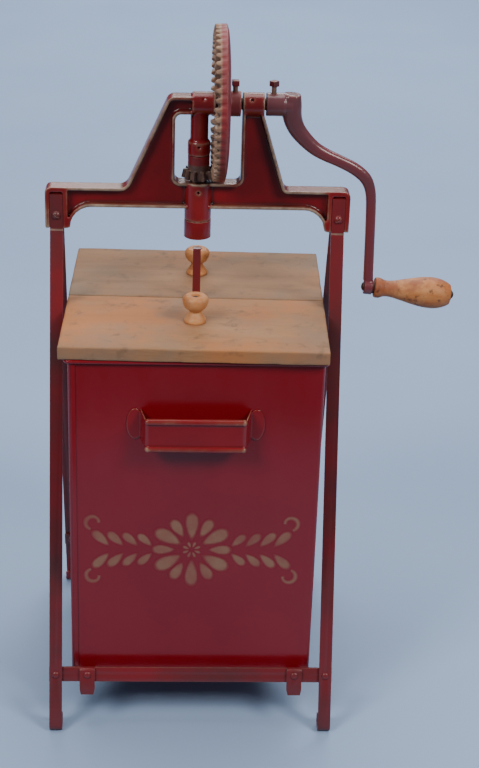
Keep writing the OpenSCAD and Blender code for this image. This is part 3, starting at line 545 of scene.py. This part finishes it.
# Painted shade with dried grease: near black in the nooks between the teeth
grease_and_nook_shade = blend_colour(tree, wear.outputs["Shade_And_Grime"], tan, (0.055, 0.018, 0.012))
teeth = node(tree, "ShaderNodeAttribute", attribute_name="teeth").outputs["Fac"]
tree.links.new(blend_colour(tree, teeth, coat, grease_and_nook_shade), shader.inputs["Base Color"])
shader.inputs["Roughness"].default_value = 0.5
bump = node(tree, "ShaderNodeBump", {"Height": rust.outputs["Fac"], "Strength": 0.3, "Distance": 0.001})
tree.links.new(bump.outputs["Normal"], shader.inputs["Normal"])

gear = cast_piece("bevel_gear_casting", "bevel_gear", 0.00095, 2, gear_red,
                  "crankshaft", 0.00015)
shaft_z = (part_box("crank_shaft")[0].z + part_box("crank_shaft")[1].z) / 2
tooth_root_r, tooth_back = 0.076, axle_x + 0.0245
gear_places = each_point(gear.data, "co")
from_axis = np.hypot(gear_places[:, 1], gear_places[:, 2] - shaft_z)
beyond_root = np.clip((from_axis - tooth_root_r) / 0.002, 0, 1)
mark(gear.data, "teeth", beyond_root * np.clip((tooth_back - gear_places[:, 0]) / 0.002, 0, 1))

pinion_finish, tree, shader = finish_of("pinion_iron_painted_hub")
place = node(tree, "ShaderNodeTexCoord").outputs["Object"]
rust = node(tree, "ShaderNodeTexNoise", {"Vector": place, "Scale": 70.0, "Detail": 9.0, "Roughness": 0.7})
iron = ramp(tree, rust.outputs["Fac"], [(0.32, (0.030, 0.016, 0.013)), (0.68, (0.150, 0.080, 0.060))])
paint = ramp(tree, rust.outputs["Fac"], [(0.34, (0.100, 0.012, 0.012)), (0.60, (0.200, 0.012, 0.016))])
hub_mask = node(tree, "ShaderNodeAttribute", attribute_name="hub").outputs["Fac"]
tree.links.new(blend_colour(tree, hub_mask, iron, paint), shader.inputs["Base Color"])
shader.inputs["Roughness"].default_value = 0.42
bump = node(tree, "ShaderNodeBump", {"Height": rust.outputs["Fac"], "Strength": 0.3, "Distance": 0.0008})
tree.links.new(bump.outputs["Normal"], shader.inputs["Normal"])
pinion = cast_piece("bevel_pinion_casting", "bevel_pinion", 0.0005, 2, pinion_finish, "spindle")
hub_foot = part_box("bevel_pinion")[1].z - 0.0112
mark(pinion.data, "hub", (each_point(pinion.data, "co")[:, 2] - hub_foot) / 0.001)

# ------------------------------------------- shafts, sleeve and set screws
# The shafts are turned bar. The sleeve is a small casting with a square hole;
# the square-headed set screws bite on flats filed on the shaft.


def coat_cad(material, *cad_nodes):
    """Gives CAD nodes that are shown as they are a finish."""
    for cad_node in cad_nodes:
        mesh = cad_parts[cad_node].data
        mesh.materials.clear()
        mesh.materials.append(material)


coat_cad(oily_iron, "crank_shaft", "spindle", "pinion_pin", "grip_washers", "pivot_cup", "paddle_pins",
         "knob_screw_front", "knob_screw_rear")
strap_piece("sleeve_casting", "drive_sleeve", 0.0009, cast_red, "sleeve")
strap_piece("gear_set_screw_red", "gear_set_screw", 0.0006, strap_red, "crankshaft")
strap_piece("crank_set_screw_red", "crank_set_screw", 0.0006, strap_red, "crankshaft")
strap_piece("grip_bolt_red", "grip_bolt", 0.0004, oily_iron, "crankshaft")

# ------------------------------------------------------------- the crank arm
# A swan-neck casting with a boss for the shaft and an eye for the grip's bolt.
crank_red = red_enamel("crank_red_enamel", (0.170, 0.028, 0.036), (0.110, 0.042, 0.050),
                       (0.28, 0.17, 0.14), 0.7, 60.0, 0.26, dusty=0.3)
cast_piece("crank_arm_casting", "crank_arm", 0.00095, 3, crank_red, "crankshaft", 0.0001)

# ----------------------------------------------------------------- the grip
# Turned maple on a through bolt, its varnish worn to bare wood and dark
# at the collar from hands and old stain.


def wood(name, light, mid, dark, ring_scale, axis_turn, gloss, patches):
    """Wood with its grain along X before axis_turn: growth bands, fibres, and coloured patches,
    each a (noise scale, where it starts, where it is full, colour)."""
    material, tree, shader = finish_of(name)
    place = node(tree, "ShaderNodeTexCoord").outputs["Object"]
    lying = node(tree, "ShaderNodeMapping",
                 {"Vector": place, "Rotation": axis_turn, "Scale": (0.10, 1, 1)})
    sway = node(tree, "ShaderNodeTexNoise", {"Vector": lying.outputs[0], "Scale": 9.0, "Detail": 3.0})
    bent = node(tree, "ShaderNodeVectorMath", {0: sway.outputs["Color"], "Scale": 0.05}, operation="SCALE")
    swum = node(tree, "ShaderNodeVectorMath",
                {0: lying.outputs[0], 1: bent.outputs["Vector"]}, operation="ADD")
    bands = node(tree, "ShaderNodeTexNoise",
                 {"Vector": swum.outputs["Vector"], "Scale": ring_scale, "Detail": 2.0, "Distortion": 0.4})
    fibre = node(tree, "ShaderNodeTexNoise", {
        "Vector": swum.outputs["Vector"], "Scale": ring_scale * 14, "Detail": 5.0, "Roughness": 0.7})
    grain = node(tree, "ShaderNodeMix", {0: 0.5, 2: bands.outputs["Fac"], 3: fibre.outputs["Fac"]})
    tone = ramp(tree, grain.outputs[0], [(0.30, dark), (0.46, mid), (0.64, light)])
    for seed, (scale, low, high, colour) in enumerate(patches):
        moved = node(tree, "ShaderNodeVectorMath",
                     {0: place, 1: (seed * 1.7, seed * 0.6, seed * 2.1)}, operation="ADD")
        mark = node(tree, "ShaderNodeTexNoise",
                    {"Vector": moved.outputs["Vector"], "Scale": scale, "Detail": 6.0, "Roughness": 0.6})
        spread = node(tree, "ShaderNodeMapRange",
                      {"Value": mark.outputs["Fac"], "From Min": low, "From Max": high, "To Max": 0.75})
        tone = blend_colour(tree, spread.outputs[0], tone, colour)
    tree.links.new(tone, shader.inputs["Base Color"])
    dull = node(tree, "ShaderNodeMapRange",
                {"Value": fibre.outputs["Fac"], "To Min": gloss, "To Max": gloss + 0.2})
    tree.links.new(dull.outputs[0], shader.inputs["Roughness"])
    shader.inputs["Specular IOR Level"].default_value = 0.3
    bump = node(tree, "ShaderNodeBump", {"Height": grain.outputs[0], "Strength": 0.4, "Distance": 0.0008})
    tree.links.new(bump.outputs["Normal"], shader.inputs["Normal"])
    return material


def curve_through(points, steps):
    """A smooth line through (radius, height) points: a cubic between each two."""
    line = []
    for i in range(len(points) - 1):
        a, b = points[max(i - 1, 0)], points[i]
        c, d = points[i + 1], points[min(i + 2, len(points) - 1)]
        for k in range(steps):
            t = k / steps
            line.append(tuple(
                0.5 * (2 * b[n] + (c[n] - a[n]) * t + (2 * a[n] - 5 * b[n] + 4 * c[n] - d[n]) * t ** 2
                       + (3 * b[n] - 3 * c[n] + d[n] - a[n]) * t ** 3) for n in (0, 1)))
    return line + [tuple(points[-1])]


def turned_piece(name, points, base, direction, material, body, cad_node, end_r):
    """A piece turned on a lathe through (radius, height) points in mm, its foot on base, its axis
    along direction, and bored through at end_r."""
    line = [(r / 1000, h / 1000) for r, h in curve_through(points, 6)]
    line = [(end_r, line[0][1])] + line + [(end_r, line[-1][1]), (end_r, line[0][1])]
    mesh = lathe(name, line, 72)
    mesh.transform(Matrix.Translation(base) @ direction.to_track_quat("Z", "Y").to_matrix().to_4x4())
    shape = bmesh.new()
    shape.from_mesh(mesh)
    bmesh.ops.remove_doubles(shape, verts=shape.verts, dist=1e-7)
    bmesh.ops.recalc_face_normals(shape, faces=shape.faces)
    shape.to_mesh(mesh)
    shape.free()
    mesh.polygons.foreach_set("use_smooth", [True] * len(mesh.polygons))
    mesh.set_sharp_from_angle(angle=math.radians(50))
    mark_edges(mesh, 0.0012, 4)
    made = new_object(name, mesh, material)
    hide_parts(cad_node)
    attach(made, body)
    return made


droop = math.radians(5)
grip_way = Vector((math.cos(droop), 0, -math.sin(droop)))
crank_eye = Vector((axle_x + 0.2152, 0, shaft_z - 0.232))
eye_to_grip = 0.008
grip_points = [(11.4, 0), (12.6, 1.2), (12.9, 5), (12.2, 8), (10.6, 12), (10.1, 17), (10.9, 24), (13.6, 36),
               (16.4, 48), (18.7, 60), (19.6, 71), (19.0, 80), (17.2, 87), (14.8, 92.5), (12.6, 96)]
grip_marks = [(24, 0.50, 0.66, (0.56, 0.27, 0.115)), (30, 0.50, 0.62, (0.24, 0.060, 0.028)),
              (110, 0.58, 0.66, (0.07, 0.03, 0.02))]
grip_wood = wood("grip_maple", (0.50, 0.200, 0.066), (0.42, 0.135, 0.038), (0.29, 0.074, 0.020),
                 90.0, (0, -droop, 0), 0.42, grip_marks)
turned_piece("grip_turning", grip_points, crank_eye + grip_way * eye_to_grip, grip_way, grip_wood,
             "grip", "crank_grip", 0.0031)

# ------------------------------------------------------------------ the can
# Tinplate bent into two halves, locked together at two corners, wired at the
# rim and enamelled glossy red. The sides drum in and out a little.
can_low, can_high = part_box("can_body")
sheet = 0.0012
corner = 0.004
can_half = (can_high.x - can_low.x) / 2


def can_outline(half, radius, steps=7):
    """Points round a square with rounded corners, with a few along each side."""
    ring = []
    along = 24
    flat = half - radius
    for quarter in range(4):
        turn = Matrix.Rotation(math.pi / 2 * quarter, 2)
        for k in range(along):
            ring.append(turn @ Vector((half, flat * (2 * (k / along) - 1))))
        for k in range(steps):
            a = math.pi / 2 * k / steps
            ring.append(turn @ Vector((flat + radius * math.cos(a), flat + radius * math.sin(a))))
    return ring


shape = bmesh.new()
layers = []
levels = 34
drum_depth = 0.0007
for half, radius in ((can_half, corner), (can_half - sheet, corner - sheet)):
    for step in range(levels + 1):
        up = step / levels
        height = can_low.z + (can_high.z - can_low.z) * up
        row = []
        for p in can_outline(half, radius):
            on_x_side, on_y_side = abs(p.x) > half * 0.97, abs(p.y) > half * 0.97
            inward_x = max(0.0, 1 - abs(p.x) / half) if on_y_side else 0.0
            inward_y = max(0.0, 1 - abs(p.y) / half) if on_x_side else 0.0
            inward = max(inward_x, inward_y)
            drum = math.sin(math.pi * up) * math.sin(math.pi / 2 * min(1, 2 * inward))
            ripple = math.sin(p.x * 31 + 2) * math.sin(height * 17 + p.y * 23) * 0.35
            side = Vector((math.copysign(1, p.x), 0) if on_x_side else (0, math.copysign(1, p.y)))
            q = p - side * drum_depth * drum * (1 + ripple) if inward > 0 else p
            row.append(shape.verts.new((axle_x + q.x, q.y, height)))
        layers.append(row)
outer, inner = layers[: levels + 1], layers[levels + 1:]
loops = outer + inner[::-1] + [outer[0]]
for first, second in zip(loops, loops[1:]):
    for k in range(len(first)):
        j = (k + 1) % len(first)
        shape.faces.new((first[k], first[j], second[j], second[k]))
bmesh.ops.recalc_face_normals(shape, faces=shape.faces)
can_mesh = bpy.data.meshes.new("can_sheet")
shape.to_mesh(can_mesh)
shape.free()
can_mesh.polygons.foreach_set("use_smooth", [True] * len(can_mesh.polygons))
can_mesh.set_sharp_from_angle(angle=math.radians(40))

# The can's colour, shared with the stencil that lies over it
can_paint = bpy.data.node_groups.new("can_paint", "ShaderNodeTree")
can_paint.interface.new_socket("Color", in_out="OUTPUT", socket_type="NodeSocketColor")
place = node(can_paint, "ShaderNodeTexCoord").outputs["Object"]
fade = node(can_paint, "ShaderNodeTexNoise", {"Vector": place, "Scale": 4.5, "Detail": 6.0, "Roughness": 0.6})
base = ramp(can_paint, fade.outputs["Fac"],
            [(0.30, (0.185, 0.0034, 0.0078)), (0.70, (0.225, 0.0050, 0.0110))])
spots = node(can_paint, "ShaderNodeTexNoise",
             {"Vector": place, "Scale": 130.0, "Detail": 5.0, "Roughness": 0.75})
chips = node(can_paint, "ShaderNodeMapRange",
             {"Value": spots.outputs["Fac"], "From Min": 0.70, "From Max": 0.78})
can_paint.links.new(blend_colour(can_paint, chips.outputs[0], base, (0.080, 0.006, 0.008)),
                    can_paint.nodes.new("NodeGroupOutput").inputs["Color"])

can_red, tree, shader = finish_of("can_gloss_red")
place = node(tree, "ShaderNodeTexCoord").outputs["Object"]
painted = node(tree, "ShaderNodeGroup", node_tree=can_paint).outputs["Color"]
tree.links.new(painted, shader.inputs["Base Color"])
scuffs = node(tree, "ShaderNodeMapping", {"Vector": place, "Scale": (1, 1, 0.25)})
haze = node(tree, "ShaderNodeTexNoise",
            {"Vector": scuffs.outputs[0], "Scale": 38.0, "Detail": 7.0, "Roughness": 0.7})
dull = node(tree, "ShaderNodeMapRange",
            {"Value": haze.outputs["Fac"], "From Min": 0.3, "From Max": 0.75, "To Min": 0.13, "To Max": 0.27})
tree.links.new(dull.outputs[0], shader.inputs["Roughness"])
peel = node(tree, "ShaderNodeTexNoise", {"Vector": place, "Scale": 150.0, "Detail": 2.0})
bump = node(tree, "ShaderNodeBump", {"Height": peel.outputs["Fac"], "Strength": 0.04, "Distance": 0.001})
tree.links.new(bump.outputs["Normal"], shader.inputs["Normal"])

can = new_object("can_sheet", can_mesh, can_red)
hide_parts("can_body")
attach(can, "can")
coat_cad(can_red, "can_bottom", "can_rim")
strap_piece("can_lock_seams", "can_seams", 0.0005, can_red, "can")

# -------------------------------------------------------------- the handles
# Each is one strip of tin with a wired roll along both edges, bent to a bail
# and soldered to the can by two oval feet. Hands have worn the rolls bare.
handle_red = red_enamel("handle_red_enamel", (0.245, 0.006, 0.010), (0.190, 0.005, 0.009),
                        (0.42, 0.24, 0.14), 1.7, 45.0, 0.22, 160.0, 0.04)
bail_half = 0.057
for side in ("front", "rear"):
    bail = cast_piece("handle_bail_" + side, "handle_" + side, 0.0007, 3, handle_red, "can")
    from_middle = np.abs(each_point(bail.data, "co")[:, 0] - axle_x)
    on_foot = np.clip((from_middle - bail_half) / 0.006, 0, 1)
    rubbed = np.zeros(len(bail.data.vertices), dtype=np.float32)
    worn = bail.data.attributes["edge"].data
    worn.foreach_get("value", rubbed)
    worn.foreach_set("value", (rubbed * (1 - 0.62 * on_foot)).astype(np.float32))

# -------------------------------------------------------------- the stencil
# A flower and four sprays of leaves, dabbed through a cut card in gold size
# and bronze powder, now thin enough for the red to show through.
flower_x, flower_z = axle_x - 0.002, 0.2488
front_y = can_low.y
four_ways = ((1, 1), (-1, 1), (1, -1), (-1, -1))


def petal_shape():
    """A flat drop, root at the origin and tip at X 1; inside runs from 0 at its rim to 1."""
    mesh = bpy.data.meshes.new("petal")
    steps = 28
    rim = []
    for k in range(steps):
        a = 2 * math.pi * k / steps
        x = 0.5 - 0.5 * math.cos(a)
        rim.append(Vector((x, 0.54 * math.sin(a) * (0.36 + 0.64 * x ** 0.8), 0)))
    heart = Vector((0.58, 0, 0))
    points = rim + [heart.lerp(p, 0.6) for p in rim] + [heart]
    faces = [(k, (k + 1) % steps, steps + (k + 1) % steps, steps + k) for k in range(steps)]
    faces += [(steps + k, steps + (k + 1) % steps, 2 * steps) for k in range(steps)]
    mesh.from_pydata(points, [], faces)
    inside = mesh.attributes.new("inside", "FLOAT", "POINT")
    inside.data.foreach_set("value", [0.0] * steps + [1.0] * (steps + 1))
    return new_object("petal", mesh)


def lay_on_can(mesh):
    """Moves each point onto the can's front sheet, a hair proud of it."""
    skin = BVHTree.FromObject(can, bpy.context.evaluated_depsgraph_get())
    for point in mesh.vertices:
        hit = skin.ray_cast(Vector((point.co.x, -0.3, point.co.z)), Vector((0, 1, 0)))[0]
        point.co.y = hit.y - 0.00012


gold, tree, shader = finish_of("stencil_gold")
place = node(tree, "ShaderNodeTexCoord").outputs["Object"]
painted = node(tree, "ShaderNodeGroup", node_tree=can_paint).outputs["Color"]
patch = node(tree, "ShaderNodeTexNoise", {"Vector": place, "Scale": 28.0, "Detail": 7.0, "Roughness": 0.65})
thin = node(tree, "ShaderNodeMapRange", {"Value": patch.outputs["Fac"], "From Min": 0.22, "From Max": 0.62})
powder = blend_colour(tree, thin.outputs[0], (0.205, 0.040, 0.028), (0.250, 0.125, 0.068))
inside = node(tree, "ShaderNodeAttribute", attribute_name="inside").outputs["Fac"]
grainy = node(tree, "ShaderNodeTexNoise", {"Vector": place, "Scale": 420.0, "Detail": 3.0})
dabbed = node(tree, "ShaderNodeMath", {0: grainy.outputs["Fac"], 1: 0.5, 2: -0.25}, operation="MULTIPLY_ADD")
laid = node(tree, "ShaderNodeMath", {0: inside, 1: dabbed.outputs[0]}, operation="ADD")
cover = node(tree, "ShaderNodeMapRange",
             {"Value": laid.outputs[0], "From Min": 0.12, "From Max": 0.85, "To Max": 0.95},
             interpolation_type="SMOOTHSTEP")
tree.links.new(blend_colour(tree, cover.outputs[0], painted, powder), shader.inputs["Base Color"])
shader.inputs["Roughness"].default_value = 0.30

# Petals and leaves as (root, tip, width), in mm from the middle of the flower
petals = []
for angle, root, tip, width in ((0, 20, 50, 17), (31, 14, 54, 24), (60, 20, 50, 18), (90, 13, 54, 21)):
    for mirror_x, mirror_z in four_ways:
        if (angle == 0 and mirror_z < 0) or (angle == 90 and mirror_x < 0):
            continue
        way = Vector((math.cos(math.radians(angle)) * mirror_x, math.sin(math.radians(angle)) * mirror_z))
        petals.append((way * root, way * tip, width))
for turn in range(8):
    way = Vector((math.cos(math.radians(22.5 + 45 * turn)), math.sin(math.radians(22.5 + 45 * turn))))
    petals.append((way * 3.0, way * 12.0, 4.6))
for spray in range(4):
    for mirror_x, mirror_z in four_ways:
        root = Vector(((49 + 17.6 * spray) * mirror_x, 4.8 * mirror_z))
        tip = Vector(((67 + 18.7 * spray) * mirror_x, (22 + 1.6 * spray) * mirror_z))
        petals.append((root, tip, 13.5 + 0.8 * spray))
places = []
for root, tip, width in petals:
    way = tip - root
    turn = Matrix.Rotation(math.pi / 2, 3, "X") @ Matrix.Rotation(math.atan2(way.y, way.x), 3, "Z")
    places.append(((flower_x + root.x / 1000, front_y, flower_z + root.y / 1000), tuple(turn.to_euler()),
                   (way.length / 1000, width / 1000, 1)))
stencil = scatter("stencil_petals", petal_shape(), places, 1.0, gold)
lay_on_can(stencil.data)
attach(stencil, "can")

# A curl closes each spray, drawn as a ribbon that swells and tapers
shape = bmesh.new()
for mirror_x, mirror_z in four_ways:
    last = None
    for k in range(25):
        t = k / 24
        angle = math.radians(-70 + 250 * t)
        radius = 9.8 - 3.4 * t * t
        width = 1.3 + 2.2 * math.sin(math.pi * min(0.85, 0.08 + t)) ** 0.7
        pair = []
        for r in (radius - width, radius, radius + width):
            x = (121.5 + r * math.cos(angle)) * mirror_x
            z = (38.0 + r * math.sin(angle)) * mirror_z
            pair.append(shape.verts.new((flower_x + x / 1000, front_y, flower_z + z / 1000)))
        for side in (0, 1):
            if last:
                shape.faces.new((last[side], last[side + 1], pair[side + 1], pair[side]))
        last = pair
for face in shape.faces:
    face.normal_update()
    if face.normal.y > 0:
        face.normal_flip()
scroll_mesh = bpy.data.meshes.new("stencil_scrolls")
shape.to_mesh(scroll_mesh)
shape.free()
inside = scroll_mesh.attributes.new("inside", "FLOAT", "POINT")
inside.data.foreach_set("value", [float(k % 3 == 1) for k in range(len(scroll_mesh.vertices))])
lay_on_can(scroll_mesh)
scrolls = new_object("stencil_scrolls", scroll_mesh, gold)
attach(scrolls, "can")

# ------------------------------------------------------------------ the lid
# Two loose boards of pine, planed once and left bare, with a cleat nailed
# under each end. Washing and sun have greyed them and lifted the grain.
front_marks = [(6.0, 0.46, 0.58, (0.43, 0.150, 0.045)), (8.0, 0.46, 0.62, (0.225, 0.150, 0.100)),
               (60, 0.56, 0.72, (0.16, 0.090, 0.050))]
front_wood = wood("lid_pine_front", (0.370, 0.196, 0.096), (0.315, 0.156, 0.071), (0.210, 0.098, 0.044),
                  42.0, (0, 0, 0), 0.60, front_marks)
# The rear board is the same pine made darker: painted shade, for the light falling off towards the back
rear_marks_painted_shade = [(5.0, 0.48, 0.62, (0.31, 0.130, 0.052)), (6.5, 0.46, 0.62, (0.175, 0.122, 0.084)),
              (60, 0.56, 0.72, (0.13, 0.075, 0.045))]
rear_wood_painted_shade = wood("lid_pine_rear_painted_shade", (0.285, 0.152, 0.078), (0.238, 0.122, 0.060), (0.160, 0.080, 0.039),
                 42.0, (0, 0, 0), 0.60, rear_marks_painted_shade)
for side, board_wood in (("front", front_wood), ("rear", rear_wood_painted_shade)):
    body = "lid_" + side
    cast_piece("lid_plank_" + side, "lid_board_" + side, 0.0014, 2, board_wood, body, 0.0005)
    strap_piece("lid_batten_" + side, "lid_cleats_" + side, 0.001, board_wood, body)

# ---------------------------------------------------------------- the knobs
# Turned birch, held from below by a long screw whose head sits in a dimple.
knob_points = [(13, 0), (13.5, 1.5), (12.8, 4), (10, 8), (8.2, 11), (7.4, 13), (8.4, 15), (12, 18),
               (14.6, 22), (15.8, 27), (15, 31), (11.9, 33.7), (10.8, 34), (6.4, 34.0), (5.2, 33.2),
               (4.4, 31.0)]
knob_marks = [(28, 0.50, 0.66, (0.56, 0.32, 0.16)), (60, 0.52, 0.66, (0.27, 0.11, 0.05))]
knob_wood = wood("knob_birch", (0.60, 0.265, 0.095), (0.52, 0.195, 0.062), (0.36, 0.115, 0.036),
                 80.0, (0, math.pi / 2, 0), 0.40, knob_marks)
for side in ("front", "rear"):
    low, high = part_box("lid_knob_" + side)
    knob_foot = Vector(((low.x + high.x) / 2, (low.y + high.y) / 2, low.z))
    turned_piece("knob_turning_" + side, knob_points, knob_foot, Vector((0, 0, 1)), knob_wood,
                 "lid_" + side, "lid_knob_" + side, 0.002)

# --------------------------------------------------------------- the dasher
# A square iron rod painted red, with two bored paddle boards pinned across it
# inside the can and a turned foot that stands in the step bearing.
strap_piece("dasher_rod", "dasher_stem", 0.0006, strap_red, "dasher")
paddle_wood = wood("paddle_beech", (0.56, 0.42, 0.27), (0.49, 0.34, 0.20), (0.38, 0.25, 0.14), 45.0,
                   (0, 0, 0), 0.55, [(9, 0.50, 0.72, (0.40, 0.28, 0.16))])
for cad_node in ("paddle_lower", "paddle_upper"):
    strap_piece(cad_node.replace("paddle", "paddle_board"), cad_node, 0.0015, paddle_wood,
                "dasher")
